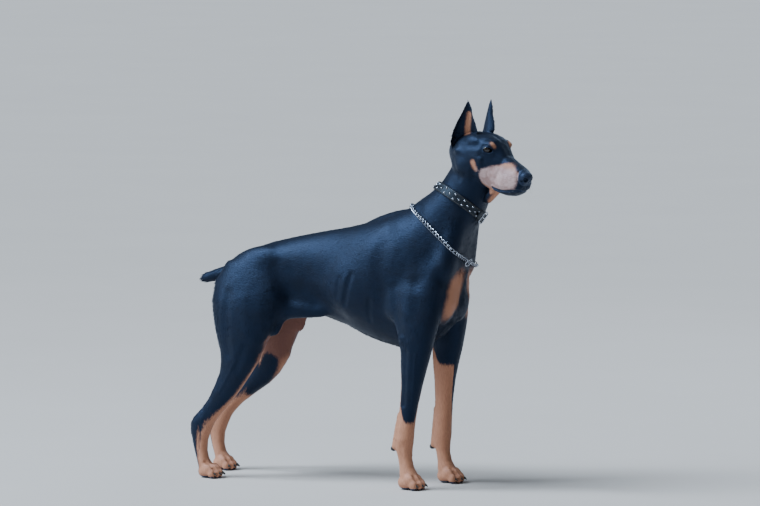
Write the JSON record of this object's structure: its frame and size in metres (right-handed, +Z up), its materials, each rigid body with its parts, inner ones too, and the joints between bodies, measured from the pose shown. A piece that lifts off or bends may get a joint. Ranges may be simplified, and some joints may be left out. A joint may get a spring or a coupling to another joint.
{
  "type": "doberman pinscher",
  "caption": "Life-size short-haired guard dog standing square with its head turned to its right, cropped ears, docked tail, studded leather collar and a chain collar.",
  "frame": {"origin": "on the floor, below the middle of the animal's bounding box", "axes": "+X forward from tail to head, +Y to the animal's left, +Z up from the floor"},
  "size_m": [0.9273, 0.2262, 0.9129],
  "materials": {
    "black_coat": "short glossy black hair over skin",
    "rust_coat": "short rust hair over skin",
    "nose_leather": "moist pebbled nose leather",
    "pad_leather": "bare black paw pad",
    "horn": "dark claw horn",
    "eye": "wet dark brown eye",
    "collar_leather": "black leather with round metal studs",
    "steel": "polished curb chain and ring"
  },
  "bodies": {
    "root": {"carpal_pad_left": "pad_leather", "carpal_pad_right": "pad_leather", "chain": "steel", "chain_ring": "steel", "chest": "black_coat", "collar": "collar_leather", "ear_left": "black_coat", "ear_right": "black_coat", "eye_left": "eye", "eye_right": "eye", "foreleg_left": "black_coat", "foreleg_right": "black_coat", "forepaw_left": "rust_coat", "forepaw_left_claw_1": "horn", "forepaw_left_claw_2": "horn", "forepaw_left_claw_3": "horn", "forepaw_left_claw_4": "horn", "forepaw_right": "rust_coat", "forepaw_right_claw_1": "horn", "forepaw_right_claw_2": "horn", "forepaw_right_claw_3": "horn", "forepaw_right_claw_4": "horn", "head": "black_coat", "hindleg_left": "black_coat", "hindleg_right": "black_coat", "hindpaw_left": "rust_coat", "hindpaw_left_claw_1": "horn", "hindpaw_left_claw_2": "horn", "hindpaw_left_claw_3": "horn", "hindpaw_left_claw_4": "horn", "hindpaw_right": "rust_coat", "hindpaw_right_claw_1": "horn", "hindpaw_right_claw_2": "horn", "hindpaw_right_claw_3": "horn", "hindpaw_right_claw_4": "horn", "lower_jaw": "black_coat", "neck": "black_coat", "nose": "nose_leather", "rump": "black_coat", "tail": "black_coat"}
  },
  "joints": []
}
